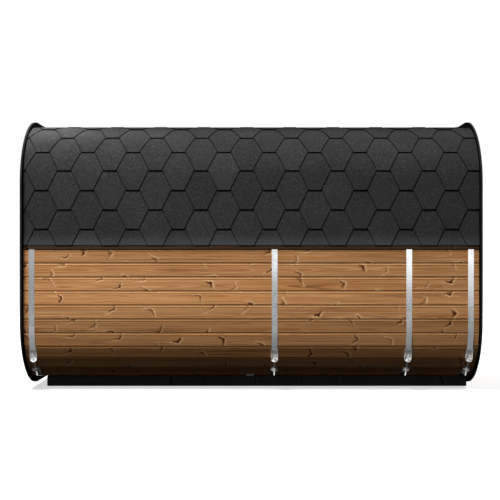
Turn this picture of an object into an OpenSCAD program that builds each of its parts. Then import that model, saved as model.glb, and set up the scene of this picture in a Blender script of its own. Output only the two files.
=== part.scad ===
// Outdoor cabin sauna: a rounded square tube of horizontal staves, held together
// by four steel straps, closed by two end walls and shingled over its upper half.
// X runs along the cabin, with the porch at +X. Y runs across it and Z is up.
// The origin is on the ground, under the middle of the cabin.

/* [Cabin] */
// Length over both end trims
cabin_length = 4000; // [3200:50:6000]
// Width of the end trims, and their height
cabin_size = 2400; // [2300:10:3000]

/* [Staves] */
// Thickness of the staves
stave_thickness = 42; // [28:1:60]
// Outer corner radius of the staves
stave_corner_radius = 490; // [420:10:640]

/* [End trims] */
// How far the trims stand proud of the flat staves
trim_overhang = 60; // [30:1:100]
// Outer corner radius of the trims
trim_corner_radius = 600; // [520:10:680]
// Thickness of the trims along the cabin
trim_thickness = 18; // [12:1:30]
// Open joint between two lengths of trim
trim_joint = 3; // [1:0.5:5]
// Angle from each end of a corner to the joint
trim_joint_angle = 22; // [10:1:35]

/* [Base beams] */
// Height of the beams
beam_height = 95; // [45:5:200]
// Width of the beams
beam_width = 95; // [70:5:200]
// How far the beams' outer faces lie beyond the flat of the floor
beam_reach = 40; // [10:5:100]
// Distance from the rear trim's face to the beams
beam_setback = 120; // [20:5:400]
// Clearance on each side of a strap or a clip that crosses a beam
housing_clearance = 3; // [1:0.5:6]

/* [Beam clips] */
// Width of the clips along the beams
clip_width = 70; // [40:5:120]
// Thickness of the clips
clip_thickness = 3; // [2:0.5:5]
// Length of a clip's foot on its beam
clip_foot = 50; // [30:5:80]
// Angle that a clip covers, round the corner from the flat of the floor
clip_angle = 22; // [12:1:28]
// Position of the clips from the middle of the cabin
clip_x = -10; // [-200:10:200]

/* [Roofing] */
// Thickness of the shingle covering
roofing_thickness = 6; // [3:0.5:12]
// Height of the lower edge above the middle of the walls
eave_height = 59; // [20:1:150]
// Height of the strip under the lower edge
eave_strip_height = 36; // [20:1:60]
// Thickness of that strip
eave_strip_thickness = 4.5; // [2:0.5:10]

/* [Straps] */
// Width of the straps
strap_width = 50; // [30:1:80]
// Thickness of the straps
strap_thickness = 1.5; // [1:0.1:3]
// Distance from each end of the cabin to the middle of its strap
strap_end_inset = 88; // [60:1:150]
// Position of the middle strap from the middle of the cabin
middle_strap_x = 204; // [-600:1:600]
// Gap on each side of a strap or a clip, inside and out
skin_gap = 0.2; // [0.1:0.1:0.5]

/* [Tensioners] */
// Angle of the tensioners below level, seen from the corner's centre
tensioner_angle = 42; // [38:1:48]
// Half the distance between the two lips
lip_offset = 60; // [40:1:80]
// Width of the lugs, and of the lips, which are rounded about the rod
lug_width = 60; // [54:1:90]
// Plate thickness of the lugs
lug_plate = 3; // [2:0.5:5]
// Length of a lug round the corner
lug_length = 93; // [70:1:120]
// Height of the rod above the strap at the lips
rod_height = 20; // [16:1:30]
// Diameter of the threaded rods
rod_diameter = 14; // [10:1:16]
// Length of the rod above the middle of the tensioner
rod_upper_length = 125; // [110:1:200]
// Length of the rod below the middle of the tensioner
rod_lower_length = 150; // [110:1:180]
// Size of the nuts over their corners
nut_size = 25; // [22:1:28]
// Thickness of the nuts
nut_thickness = 12; // [8:1:16]
// Thickness of the nuts' flange
flange_thickness = 2.5; // [1.5:0.5:4]
// Radial clearance of the rods in the lips
rod_clearance = 0.5; // [0.2:0.1:1]
// Radial clearance of the rods in the nuts
thread_clearance = 0.1; // [0.05:0.05:0.2]

/* [End walls] */
// Thickness of the end walls
wall_thickness = 42; // [28:1:60]
// Distance from the front end to the middle of the front wall
porch_depth = 625; // [400:5:1000]
// Gap between an end wall and the staves
wall_fit = 0.3; // [0.1:0.1:1]

/* [Door] */
// Width of the door leaf
door_width = 700; // [600:10:800]
// Height of the door leaf
door_height = 1850; // [1600:10:1900]
// Thickness of the door leaf
door_thickness = 42; // [35:1:50]
// Gap round the door leaf
door_gap = 3; // [2:0.5:5]
// Width of the frame's members
frame_width = 45; // [35:1:70]
// Depth of the frame along the cabin
frame_depth = 60; // [50:1:90]
// Height of the threshold
threshold_height = 45; // [30:1:60]
// Length of the pull handles
handle_length = 400; // [250:10:600]
// Diameter of the pull handles
handle_diameter = 28; // [20:1:40]
// Gap behind the pull handles
handle_gap = 32; // [30:1:60]
// Distance from the door's edge to the handles
handle_inset = 60; // [50:1:100]
// Height of the hinges
hinge_height = 90; // [60:5:120]
// Width of one hinge plate
hinge_plate_width = 32; // [25:1:40]
// Thickness of the hinge plates
hinge_plate = 3; // [2:0.5:4]
// Diameter of the hinge barrels
hinge_barrel = 14; // [10:1:18]

/* [Hidden] */
$fn = 96;

WOOD = [0.63, 0.45, 0.29];
BLACK = [0.09, 0.09, 0.09];
SHINGLE = [0.20, 0.20, 0.21];
DARK_BROWN = [0.20, 0.14, 0.10];
STEEL = [0.75, 0.75, 0.74];

NEAR = -1;
FAR = 1;
BOTTOM = -1;
TOP = 1;

// The section is a square with round corners. Every layer of the body shares the
// same four corner centres, so a layer is given by its half size alone.
stave_outer = cabin_size / 2 - trim_overhang;
corner_centre = stave_outer - stave_corner_radius;
trim_corner_centre = cabin_size / 2 - trim_corner_radius;
stave_inner = stave_outer - stave_thickness;
strap_inner = stave_outer + skin_gap;
strap_outer = strap_inner + strap_thickness;
roofing_inner = strap_outer + skin_gap;
roofing_outer = roofing_inner + roofing_thickness;
wall_outer = stave_inner - wall_fit;
centre_z = beam_height + stave_outer;
floor_z = centre_z - stave_inner;
clip_inner = stave_outer + skin_gap;
clip_outer = clip_inner + clip_thickness;

// Places across the cabin and along it.
beam_outer_y = corner_centre + beam_reach;
end_x = cabin_length / 2;
stave_end_x = end_x - trim_thickness;
strap_end_x = end_x - strap_end_inset;
front_wall_x = end_x - porch_depth;
STRAP_PLACES = [-strap_end_x, middle_strap_x, front_wall_x, strap_end_x];

// The tensioner's own section: t runs up the tangent and n points out.
lug_inner = strap_outer - corner_centre + skin_gap;
lug_outer = lug_inner + lug_plate;
lug_start_angle = asin(lip_offset / lug_inner);
lug_end_angle = lug_start_angle + lug_length / lug_inner * 180 / PI;
lip_surface_n = sqrt(pow(lug_inner, 2) - pow(lip_offset, 2));
rod_n = lip_surface_n + rod_height;

// The doorway, from its middle outwards.
leaf_bottom = floor_z + threshold_height + door_gap;
leaf_top = leaf_bottom + door_height;
jamb_y = door_width / 2 + door_gap;
frame_y = jamb_y + frame_width;
head_z = leaf_top + door_gap;
frame_top = head_z + frame_width;
frame_face_x = front_wall_x + frame_depth / 2;

function ring_point(radius, angle) = [radius * sin(angle), radius * cos(angle)];

// Draws its 2-D children across the cabin (their x along Y, their y along Z, from
// the middle of the section) and runs them from one x to another.
module along(from_x, to_x) {
    translate([from_x, 0, centre_z])
        rotate([90, 0, 90])
            linear_extrude(to_x - from_x)
                children();
}

module rounded_square(half, centre = corner_centre) {
    square([2 * half, 2 * centre], center = true);
    square([2 * centre, 2 * half], center = true);
    for (side = [-1, 1], level = [-1, 1])
        translate([side * centre, level * centre])
            circle(half - centre);
}

module rounded_ring(inner, outer) {
    difference() {
        rounded_square(outer);
        rounded_square(inner);
    }
}

// The quarter of a ring round one corner centre.
module corner_arc(side, level, inner, outer) {
    translate([side * corner_centre, level * corner_centre])
        intersection() {
            difference() {
                circle(outer - corner_centre);
                circle(inner - corner_centre);
            }
            translate([min(0, side * cabin_size), min(0, level * cabin_size)])
                square(cabin_size);
        }
}

// A flat board from one y and z to another, between the end trims.
module flat_panel(y, z) {
    translate([-stave_end_x, y[0], centre_z + z[0]])
        cube([2 * stave_end_x, y[1] - y[0], z[1] - z[0]]);
}

module side_staves(side) {
    color(WOOD)
        flat_panel(
            side < 0 ? [-stave_outer, -stave_inner] : [stave_inner, stave_outer],
            [-corner_centre, corner_centre]);
}

module level_staves(level) {
    color(WOOD)
        flat_panel(
            [-corner_centre, corner_centre],
            level < 0 ? [-stave_outer, -stave_inner] : [stave_inner, stave_outer]);
}

module corner_staves(side, level) {
    color(WOOD)
        along(-stave_end_x, stave_end_x)
            corner_arc(side, level, stave_inner, stave_outer);
}

// A beam under the body, housed where a strap or a clip passes between the two.
module base_beam(side) {
    color(BLACK)
        difference() {
            translate([beam_setback - end_x, beam_inner_y(side), 0])
                cube([cabin_length - beam_setback - trim_thickness, beam_width, beam_height]);
            for (x = STRAP_PLACES)
                housing(side, x, strap_width, strap_thickness);
            housing(side, clip_x, clip_width, clip_thickness);
        }
}

function beam_inner_y(side) = side < 0 ? -beam_outer_y : beam_outer_y - beam_width;

module housing(side, x, width, thickness) {
    depth = thickness + 2 * skin_gap;
    translate([x - width / 2 - housing_clearance, beam_inner_y(side) - 1, beam_height - depth])
        cube([width + 2 * housing_clearance, beam_width + 2, depth + 1]);
}

// A steel plate between the beam and the floor, bent up round the lowest staves.
module beam_clip(side) {
    color(STEEL)
        along(clip_x - clip_width / 2, clip_x + clip_width / 2)
            mirror([side < 0 ? 1 : 0, 0]) {
                translate([corner_centre - clip_foot, -clip_outer])
                    square([clip_foot, clip_thickness]);
                intersection() {
                    corner_arc(FAR, BOTTOM, clip_inner, clip_outer);
                    translate([corner_centre, -corner_centre])
                        polygon([
                            [0, 0],
                            [0, -cabin_size],
                            ring_point(cabin_size, 180 - clip_angle)
                        ]);
                }
            }
}

// Four straight lengths and four corner lengths, butted with open joints.
module end_trim(face_x) {
    color(BLACK)
        along(min(face_x, face_x - sign(face_x) * trim_thickness),
              max(face_x, face_x - sign(face_x) * trim_thickness))
            difference() {
                rounded_square(cabin_size / 2, trim_corner_centre);
                rounded_square(stave_inner);
                for (side = [-1, 1], level = [-1, 1])
                    translate([side * trim_corner_centre, level * trim_corner_centre])
                        for (angle = [trim_joint_angle, 90 - trim_joint_angle])
                            rotate(level * side * angle)
                                translate([side < 0 ? -cabin_size : 0, -trim_joint / 2])
                                    square([cabin_size, trim_joint]);
            }
}

module rear_wall() {
    color(WOOD)
        along(-strap_end_x - wall_thickness / 2, -strap_end_x + wall_thickness / 2)
            rounded_square(wall_outer);
}

// The part of the front wall inside one rectangle.
module front_wall_part(y, z) {
    color(WOOD)
        along(front_wall_x - wall_thickness / 2, front_wall_x + wall_thickness / 2)
            intersection() {
                rounded_square(wall_outer);
                translate([y[0], z[0]])
                    square([y[1] - y[0], z[1] - z[0]]);
            }
}

module front_wall_side(side) {
    front_wall_part(
        side < 0 ? [-cabin_size, -frame_y] : [frame_y, cabin_size],
        [-cabin_size, cabin_size]);
}

module front_wall_over_door() {
    front_wall_part([-frame_y, frame_y], [frame_top - centre_z, cabin_size]);
}

module door_frame() {
    color(WOOD)
        translate([frame_face_x - frame_depth, 0, 0])
            difference() {
                translate([0, -frame_y, floor_z])
                    cube([frame_depth, 2 * frame_y, frame_top - floor_z]);
                translate([-1, -jamb_y, floor_z - 1])
                    cube([frame_depth + 2, 2 * jamb_y, head_z - floor_z + 1]);
            }
}

module door_threshold() {
    color(WOOD)
        translate([frame_face_x - frame_depth, -jamb_y, floor_z])
            cube([frame_depth, 2 * jamb_y, threshold_height]);
}

module door_leaf() {
    color(WOOD)
        translate([frame_face_x - door_thickness, -door_width / 2, leaf_bottom])
            cube([door_thickness, door_width, door_height]);
}

// A round bar on two round posts, standing out along +X from its own origin.
module pull_handle() {
    bar_x = handle_gap + handle_diameter / 2;
    post = handle_diameter * 0.7;
    translate([bar_x, 0, -handle_length / 2])
        cylinder(d = handle_diameter, h = handle_length);
    for (z = [-handle_length * 0.35, handle_length * 0.35])
        translate([0, 0, z])
            rotate([0, 90, 0])
                cylinder(d = post, h = bar_x);
}

module door_handles() {
    handle_y = handle_inset - door_width / 2;
    handle_z = leaf_bottom + door_height / 2;
    color(BLACK) {
        translate([frame_face_x, handle_y, handle_z])
            pull_handle();
        translate([frame_face_x - door_thickness, handle_y, handle_z])
            mirror([1, 0, 0])
                pull_handle();
    }
}

// Two plates on the faces of the leaf and the frame, and the barrel between them.
module door_hinges() {
    hinge_y = door_width / 2 + door_gap / 2;
    color(BLACK)
        for (share = [0.1, 0.5, 0.9])
            translate([frame_face_x, hinge_y, leaf_bottom + share * door_height - hinge_height / 2]) {
                translate([0, -hinge_plate_width, 0])
                    cube([hinge_plate, 2 * hinge_plate_width, hinge_height]);
                translate([hinge_barrel / 2, 0, 0])
                    cylinder(d = hinge_barrel, h = hinge_height);
            }
}

module side_roofing(side) {
    color(SHINGLE)
        along(-stave_end_x, stave_end_x) {
            translate([side < 0 ? -roofing_outer : roofing_inner, eave_height])
                square([roofing_thickness, corner_centre - eave_height]);
            corner_arc(side, TOP, roofing_inner, roofing_outer);
        }
}

module roofing_top() {
    color(SHINGLE)
        flat_panel([-corner_centre, corner_centre], [roofing_inner, roofing_outer]);
}

module eave_strip(side) {
    strip_y = side < 0 ? -roofing_inner - eave_strip_thickness : roofing_inner;
    color(DARK_BROWN)
        flat_panel([strip_y, strip_y + eave_strip_thickness],
                   [eave_height - eave_strip_height, eave_height]);
}

// Everything at or above the near lips, seen across the cabin, or else below them.
module lip_cut(upper) {
    reach = 2 * cabin_size;
    up = ring_point(reach, 90 + tensioner_angle - lug_start_angle);
    down = ring_point(reach, 90 + tensioner_angle + lug_start_angle);
    start = [corner_centre, -corner_centre];
    for (side = [0, 1])
        mirror([side, 0])
            polygon(upper
                ? [[0, -corner_centre], start, start + up, [reach, reach], [0, reach]]
                : [[0, -corner_centre], start, start + down, [0, -reach]]);
}

// A strap is two lengths: over the body from lip to lip, and under it.
module strap(place, upper) {
    color(STEEL)
        along(STRAP_PLACES[place] - strap_width / 2, STRAP_PLACES[place] + strap_width / 2)
            intersection() {
                rounded_ring(strap_inner, strap_outer);
                lip_cut(upper);
            }
}

// Puts its children at every tensioner on one side. Inside, the origin is the
// corner's centre, Z points out through the tensioner and Y up along its rod.
module at_tensioners(side) {
    mirror([0, side < 0 ? 0 : 1, 0])
        for (x = STRAP_PLACES)
            translate([x, -corner_centre, centre_z - corner_centre])
                rotate([90 + tensioner_angle, 0, 0])
                    children();
}

// Runs 2-D children (their x up the rod, their y outwards) along X.
module lug_section(from_x, width) {
    translate([from_x, 0, 0])
        rotate([90, 0, 90])
            linear_extrude(width)
                children();
}

// A plate round the strap, a round-topped lip for the rod and two side gussets.
module lug() {
    end_point = ring_point(lug_outer, lug_end_angle);
    lip_radius = lug_width / 2;
    gusset_top = rod_n + lip_radius / 3;
    difference() {
        union() {
            lug_section(-lug_width / 2, lug_width)
                intersection() {
                    difference() {
                        circle(lug_outer);
                        circle(lug_inner);
                    }
                    polygon([
                        [0, 0],
                        ring_point(2 * lug_outer, lug_start_angle),
                        ring_point(2 * lug_outer, lug_end_angle)
                    ]);
                }
            for (x = [-lug_width / 2, lug_width / 2 - lug_plate])
                lug_section(x, lug_plate)
                    difference() {
                        polygon([
                            [lip_offset, lip_surface_n],
                            [lip_offset, gusset_top],
                            end_point,
                            ring_point(lug_inner, lug_end_angle)
                        ]);
                        circle(lug_inner + lug_plate / 2);
                    }
            translate([0, lip_offset + lug_plate, 0])
                rotate([90, 0, 0])
                    linear_extrude(lug_plate)
                        translate([0, rod_n])
                            intersection() {
                                union() {
                                    circle(lip_radius);
                                    translate([-lip_radius, -rod_height])
                                        square([lug_width, rod_height]);
                                }
                                translate([-lip_radius, lug_plate / 2 - rod_height])
                                    square([lug_width, rod_height + lip_radius]);
                            }
        }
        translate([0, 0, rod_n])
            rotate([-90, 0, 0])
                cylinder(r = rod_diameter / 2 + rod_clearance, h = 2 * lip_offset);
    }
}

module strap_lugs(side) {
    color(STEEL)
        at_tensioners(side)
            for (end = [0, 1])
                mirror([0, end, 0])
                    lug();
}

module tension_rods(side) {
    color(STEEL)
        at_tensioners(side)
            translate([0, -rod_lower_length, rod_n])
                rotate([-90, 0, 0])
                    cylinder(d = rod_diameter, h = rod_lower_length + rod_upper_length);
}

// A hexagon nut on its round flange, bored for the rod, standing along Z.
module flanged_nut() {
    difference() {
        union() {
            cylinder(d = nut_size, h = nut_thickness, $fn = 6);
            cylinder(d = nut_size + 2, h = flange_thickness);
        }
        translate([0, 0, -1])
            cylinder(r = rod_diameter / 2 + thread_clearance, h = nut_thickness + 2);
    }
}

// A nut tight against the outer face of each lip, and a lock nut inside the lower one.
module tension_nuts(side) {
    color(STEEL)
        at_tensioners(side) {
            for (end = [0, 1])
                mirror([0, end, 0])
                    translate([0, lip_offset + lug_plate, rod_n])
                        rotate([-90, 0, 0])
                            flanged_nut();
            translate([0, -lip_offset, rod_n])
                rotate([-90, 0, 0])
                    flanged_nut();
        }
}

base_beam(NEAR);  // base_beam_near
base_beam(FAR);  // base_beam_far
beam_clip(NEAR);  // beam_clip_near
beam_clip(FAR);  // beam_clip_far
level_staves(BOTTOM);  // floor_staves
side_staves(NEAR);  // near_side_staves
side_staves(FAR);  // far_side_staves
level_staves(TOP);  // ceiling_staves
corner_staves(NEAR, BOTTOM);  // near_bottom_corner
corner_staves(FAR, BOTTOM);  // far_bottom_corner
corner_staves(NEAR, TOP);  // near_top_corner
corner_staves(FAR, TOP);  // far_top_corner
end_trim(-end_x);  // rear_trim
end_trim(end_x);  // front_trim
rear_wall();
front_wall_side(NEAR);  // front_wall_near
front_wall_side(FAR);  // front_wall_far
front_wall_over_door();
door_frame();
door_threshold();
door_leaf();
door_handles();
door_hinges();
side_roofing(NEAR);  // roofing_near
roofing_top();
side_roofing(FAR);  // roofing_far
eave_strip(NEAR);  // eave_strip_near
eave_strip(FAR);  // eave_strip_far
strap(0, true);  // rear_upper_strap
strap(0, false);  // rear_lower_strap
strap(1, true);  // middle_upper_strap
strap(1, false);  // middle_lower_strap
strap(2, true);  // porch_upper_strap
strap(2, false);  // porch_lower_strap
strap(3, true);  // front_upper_strap
strap(3, false);  // front_lower_strap
strap_lugs(NEAR);  // strap_lugs_near
strap_lugs(FAR);  // strap_lugs_far
tension_rods(NEAR);  // tension_rods_near
tension_rods(FAR);  // tension_rods_far
tension_nuts(NEAR);  // tension_nuts_near
tension_nuts(FAR);  // tension_nuts_far
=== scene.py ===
import math
import random

import bmesh
import bpy
from mathutils import Matrix, Vector


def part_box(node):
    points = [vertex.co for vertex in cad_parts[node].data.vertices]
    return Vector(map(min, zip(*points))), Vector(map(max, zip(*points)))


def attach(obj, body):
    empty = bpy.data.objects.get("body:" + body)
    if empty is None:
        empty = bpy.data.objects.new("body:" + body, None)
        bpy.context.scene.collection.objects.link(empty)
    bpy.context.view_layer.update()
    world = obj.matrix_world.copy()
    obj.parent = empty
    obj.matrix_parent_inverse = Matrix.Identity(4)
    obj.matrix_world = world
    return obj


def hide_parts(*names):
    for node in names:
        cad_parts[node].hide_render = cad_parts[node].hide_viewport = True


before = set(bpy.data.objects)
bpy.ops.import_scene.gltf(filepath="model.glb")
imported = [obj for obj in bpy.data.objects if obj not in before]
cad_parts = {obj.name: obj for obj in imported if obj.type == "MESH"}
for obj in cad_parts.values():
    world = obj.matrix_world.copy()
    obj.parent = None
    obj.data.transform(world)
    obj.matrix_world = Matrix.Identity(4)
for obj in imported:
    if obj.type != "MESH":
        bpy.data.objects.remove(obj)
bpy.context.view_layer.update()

random.seed(7)

# Base beams: two square timbers under the body, planed, eased along their edges and
# stained black. Each is housed on top where a strap or a clip passes under the floor.
BAND_HOUSING, CLIP_HOUSING, HOUSING_PLAY = 0.0019, 0.0034, 0.003
STRAP_NAMES = ["rear", "middle", "porch", "front"]


def work_on(piece, mode="OBJECT"):
    """Leaves one piece selected and active, in the mode asked for."""
    if bpy.context.mode != "OBJECT":
        bpy.ops.object.mode_set(mode="OBJECT")
    bpy.ops.object.select_all(action="DESELECT")
    bpy.context.view_layer.objects.active = piece
    piece.select_set(True)
    if mode == "EDIT":
        bpy.ops.object.mode_set(mode="EDIT")
        bpy.ops.mesh.select_all(action="SELECT")


def timber(name, low, high):
    """A square-edged block between two corners."""
    bpy.ops.object.select_all(action="DESELECT")
    low, high = Vector(low), Vector(high)
    bpy.ops.mesh.primitive_cube_add(size=1, location=(low + high) / 2, scale=high - low)
    piece = bpy.context.object
    piece.name = name
    bpy.ops.object.transform_apply(location=True, rotation=True, scale=True)
    return piece


def ease(piece, width, segments=2, angle=35, smooth=14):
    """Rounds a piece's sharp edges, and keeps its flat faces flat to the eye."""
    work_on(piece)
    bevel = piece.modifiers.new("ease", "BEVEL")
    bevel.width = width
    bevel.segments = segments
    bevel.limit_method = "ANGLE"
    bevel.angle_limit = math.radians(angle)
    bpy.ops.object.modifier_apply(modifier="ease")
    bpy.ops.object.shade_smooth_by_angle(angle=math.radians(smooth))


def cut_away(piece, cutter):
    """Takes one solid out of another, and throws the cutter away."""
    work_on(piece)
    cut = piece.modifiers.new("cut", "BOOLEAN")
    cut.operation = "DIFFERENCE"
    cut.solver = "EXACT"
    cut.object = cutter
    bpy.ops.object.modifier_apply(modifier="cut")
    bpy.data.objects.remove(cutter)


def joined(name, parts):
    """Makes one piece of several."""
    work_on(parts[0])
    for part in parts:
        part.select_set(True)
    bpy.ops.object.join()
    parts[0].name = name
    return parts[0]


def grain(piece, axes, shade=None):
    """Gives a board its own stretch of grain along the first of the axes, and a tone."""
    size = len(piece.data.vertices)
    low = [min(v.co[axis] for v in piece.data.vertices) for axis in range(3)]
    # its place in the log: along it, and across and into it from the pith
    shift = (random.uniform(0, 40), random.uniform(-0.11, 0.01), random.uniform(0.02, 0.09))
    for name, kind in (("board", "FLOAT_VECTOR"), ("tone", "FLOAT")):
        piece.data.attributes.new(name, kind, "POINT")
    shade = random.uniform(0.35, 0.9) if shade is None else shade
    piece.data.attributes["tone"].data.foreach_set("value", [shade] * size)
    piece.data.attributes["board"].data.foreach_set("vector", [
        v.co[a] - low[a] + s for v in piece.data.vertices for a, s in zip(axes, shift)])


def colour(red, green, blue):
    """A colour as a painter's chart gives it, from 0 to 255, for a shader."""
    return tuple((c / 255 / 12.92) if c < 10.3 else ((c / 255 + 0.055) / 1.055) ** 2.4
                 for c in (red, green, blue)) + (1,)


def put(finish, kind, inputs=None, **settings):
    """Adds one shader node, its sockets filled with values or with other sockets."""
    node = finish.node_tree.nodes.new("ShaderNode" + kind)
    for name, value in settings.items():
        setattr(node, name, value)
    for name, value in (inputs or {}).items():
        if isinstance(value, bpy.types.NodeSocket):
            finish.node_tree.links.new(value, node.inputs[name])
        else:
            node.inputs[name].default_value = value
    return node


def calc(finish, operation, first, second=0.5, third=0.5, clamp=False):
    """One step of sums between values."""
    return put(finish, "Math", {0: first, 1: second, 2: third},
               operation=operation, use_clamp=clamp).outputs[0]


def spread(finish, value, low, high, to_low=0.0, to_high=1.0):
    """Maps a value from one range to another, smoothly and without going past the ends."""
    return put(finish, "MapRange", {"Value": value, "From Min": low, "From Max": high,
                                    "To Min": to_low, "To Max": to_high},
               interpolation_type="SMOOTHSTEP").outputs[0]


def scaled(finish, vector, x, y, z):
    """A vector made longer or shorter along each axis."""
    return put(finish, "VectorMath", {0: vector, 1: (x, y, z)}, operation="MULTIPLY").outputs[0]


def noise(finish, vector, scale, detail=2.0, roughness=0.5, distortion=0.0):
    """An even cloudy pattern from 0 to 1."""
    return put(finish, "TexNoise", {"Vector": vector, "Scale": scale, "Detail": detail,
                                    "Roughness": roughness, "Distortion": distortion}).outputs[0]


def mixed(finish, factor, first, second, blend="MIX"):
    """Goes from one colour to another, or blends one into the other."""
    return put(finish, "Mix", {0: factor, 6: first, 7: second},
               data_type="RGBA", blend_type=blend).outputs[2]


def new_finish(name):
    """A material with nothing in it yet."""
    finish = bpy.data.materials.new(name)
    finish.use_nodes = True
    finish.node_tree.nodes.clear()
    return finish


def tinted(shade, red, green, blue):
    """A colour with each of its parts made stronger or weaker."""
    return [part * by for part, by in zip(shade[:3], (red, green, blue))] + [1]


def coat(finish, base, roughness, height=None, depth=0.0003, **shader):
    """Closes a finish with its shader: colour, roughness and the relief of its surface."""
    inputs = {"Base Color": base, "Roughness": roughness}
    if height is not None:
        inputs["Normal"] = put(finish, "Bump", {"Height": height, "Strength": 1.0,
                                                "Distance": depth}).outputs[0]
    inputs.update({name.replace("_", " "): value for name, value in shader.items()})
    surface = put(finish, "BsdfPrincipled", inputs)
    put(finish, "OutputMaterial", {"Surface": surface.outputs[0]})
    return finish


def wood(name, pale, light, middle, dark, knot, knots=0.5, gloss=0.03, relief=0.0004):
    """Softwood: rings round a pith, darker streaks, knots with the grain bent round them."""
    finish = new_finish(name)
    board = put(finish, "Attribute", attribute_name="board").outputs["Vector"]
    tone_value = put(finish, "Attribute", attribute_name="tone").outputs["Fac"]
    # knots: one at most to a cell 0.42 m long and as wide as a board
    cells = put(finish, "TexVoronoi", {"Vector": scaled(finish, board, 2.4, 9.0, 0.0),
                                       "Scale": 1.0, "Randomness": 0.9},
                voronoi_dimensions="2D")
    away = put(finish, "VectorMath", {0: scaled(finish, board, 2.4, 9.0, 0.0),
                                      1: cells.outputs["Position"]}, operation="SUBTRACT")
    away = scaled(finish, away.outputs[0], 0.36, 0.11, 0.0)
    for scale, width in ((30.0, 0.030), (110.0, 0.012)):
        ragged = put(finish, "TexNoise", {"Vector": board, "Scale": scale, "Detail": 2.0,
                                          "Roughness": 0.6}).outputs["Color"]
        ragged = put(finish, "VectorMath", {0: ragged, 1: (0.5, 0.5, 0.0)}, operation="SUBTRACT")
        ragged = scaled(finish, ragged.outputs[0], width, width, 0.0)
        away = put(finish, "VectorMath", {0: away, 1: ragged}, operation="ADD").outputs[0]
    # each knot has its own lean, size and length, and is bent like a hook
    chance = put(finish, "SeparateColor", {"Color": cells.outputs["Color"]})
    lean = calc(finish, "MULTIPLY_ADD", chance.outputs["Blue"], 2.4, -1.2)
    turned = put(finish, "VectorRotate", {"Vector": away, "Angle": lean}, rotation_type="Z_AXIS")
    turned = put(finish, "SeparateXYZ", {0: turned.outputs[0]})
    hooked = calc(finish, "MULTIPLY_ADD", calc(finish, "ABSOLUTE", turned.outputs["Y"]), 0.55,
                  turned.outputs["X"])
    size = calc(finish, "MULTIPLY_ADD", chance.outputs["Green"], 0.0075, 0.0068)
    here = calc(finish, "GREATER_THAN", chance.outputs["Red"], 1 - knots)
    size = calc(finish, "MULTIPLY_ADD", size, here, 0.00001)
    long = calc(finish, "MULTIPLY", size,
                spread(finish, chance.outputs["Green"], 0.2, 1.0, 4.6, 2.0))
    nearness = put(finish, "CombineXYZ", {
        "X": calc(finish, "DIVIDE", hooked, size),
        "Y": calc(finish, "DIVIDE", turned.outputs["Y"], long)}).outputs[0]
    nearness = put(finish, "VectorMath", {0: nearness}, operation="LENGTH").outputs["Value"]
    heart = spread(finish, nearness, 1.45, 0.75)
    halo = spread(finish, nearness, 2.8, 1.3)
    beside = spread(finish, calc(finish, "DIVIDE", hooked, size), -0.2, 1.4)
    fleck = noise(finish, scaled(finish, board, 60, 110, 60), 1.0, 2, 0.6)
    # the grain: distance from a pith that wanders along the log, pushed aside by knots
    parts = put(finish, "SeparateXYZ", {0: board})
    wander = noise(finish, scaled(finish, board, 1.0, 2.0, 2.0), 1.3, 2, 0.5)
    wander = calc(finish, "MULTIPLY_ADD", wander, 0.036, -0.018)
    push = put(finish, "SeparateXYZ", {0: away}).outputs["Y"]
    push = calc(finish, "MULTIPLY", push, calc(finish, "MULTIPLY", halo, -0.7))
    across = calc(finish, "ADD", calc(finish, "ADD", parts.outputs["Y"], wander), push)
    into = calc(finish, "ADD", parts.outputs["Z"], calc(finish, "MULTIPLY", wander, 0.6))
    radius = calc(finish, "SQRT", calc(finish, "ADD", calc(finish, "MULTIPLY", across, across),
                                       calc(finish, "MULTIPLY", into, into)))
    ring = calc(finish, "FRACT", calc(finish, "MULTIPLY", radius, 260))
    ring = calc(finish, "MULTIPLY", spread(finish, ring, 0.1, 0.8),
                spread(finish, ring, 1.0, 0.86))
    # patterns drawn out along the board: bands, pitch, fibres, thin streaks and warm ones
    streak = put(finish, "CombineXYZ", {"X": calc(finish, "MULTIPLY", parts.outputs["X"], 0.5),
                                        "Y": calc(finish, "MULTIPLY", radius, 52)}).outputs[0]
    bands = noise(finish, streak, 1.7, 4, 0.65, 0.2)
    pitch = noise(finish, scaled(finish, board, 1.5, 60, 60), 1.0, 2, 0.5)
    fibre = noise(finish, scaled(finish, board, 5, 420, 420), 1.0, 3, 0.6)
    wide = spread(finish, bands, 0.30, 0.72)
    thin = noise(finish, scaled(finish, board, 0.5, 85, 85), 1.0, 4, 0.75)
    warmth = noise(finish, scaled(finish, board, 0.6, 34, 34), 1.0, 3, 0.6)
    # the colours, from the ground up: wood, grain, pitch, knots
    base = mixed(finish, wide, middle, light)
    base = mixed(finish, spread(finish, warmth, 0.48, 0.66, 0.0, 0.65), base,
                 tinted(light, 0.92, 0.70, 0.48))
    base = mixed(finish, spread(finish, thin, 0.52, 0.70, 0.0, 0.65), base, dark)
    base = mixed(finish, spread(finish, thin, 0.47, 0.30, 0.0, 0.8), base, pale)
    base = mixed(finish, spread(finish, bands, 0.46, 0.20), base, dark)
    base = mixed(finish, calc(finish, "MULTIPLY", ring, 0.42), base, dark)
    base = mixed(finish, spread(finish, fibre, 0.35, 0.75, 0.0, 0.16), base, light)
    base = mixed(finish, spread(finish, pitch, 0.685, 0.745, 0.0, 0.85), base, knot)
    fleck = calc(finish, "MULTIPLY", spread(finish, fleck, 0.38, 0.60, 0.1, 0.95), beside)
    base = mixed(finish, calc(finish, "MULTIPLY", halo, fleck), base,
                 tinted(pale, 1.15, 1.25, 1.35))
    depth = spread(finish, chance.outputs["Red"], 1 - knots, 1.0, 0.42, 1.0)
    base = mixed(finish, calc(finish, "MULTIPLY", heart, depth), base, knot)
    core = calc(finish, "MULTIPLY", spread(finish, nearness, 0.7, 0.1), depth)
    base = mixed(finish, core, base, tinted(knot, 0.5, 0.5, 0.5))
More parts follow.
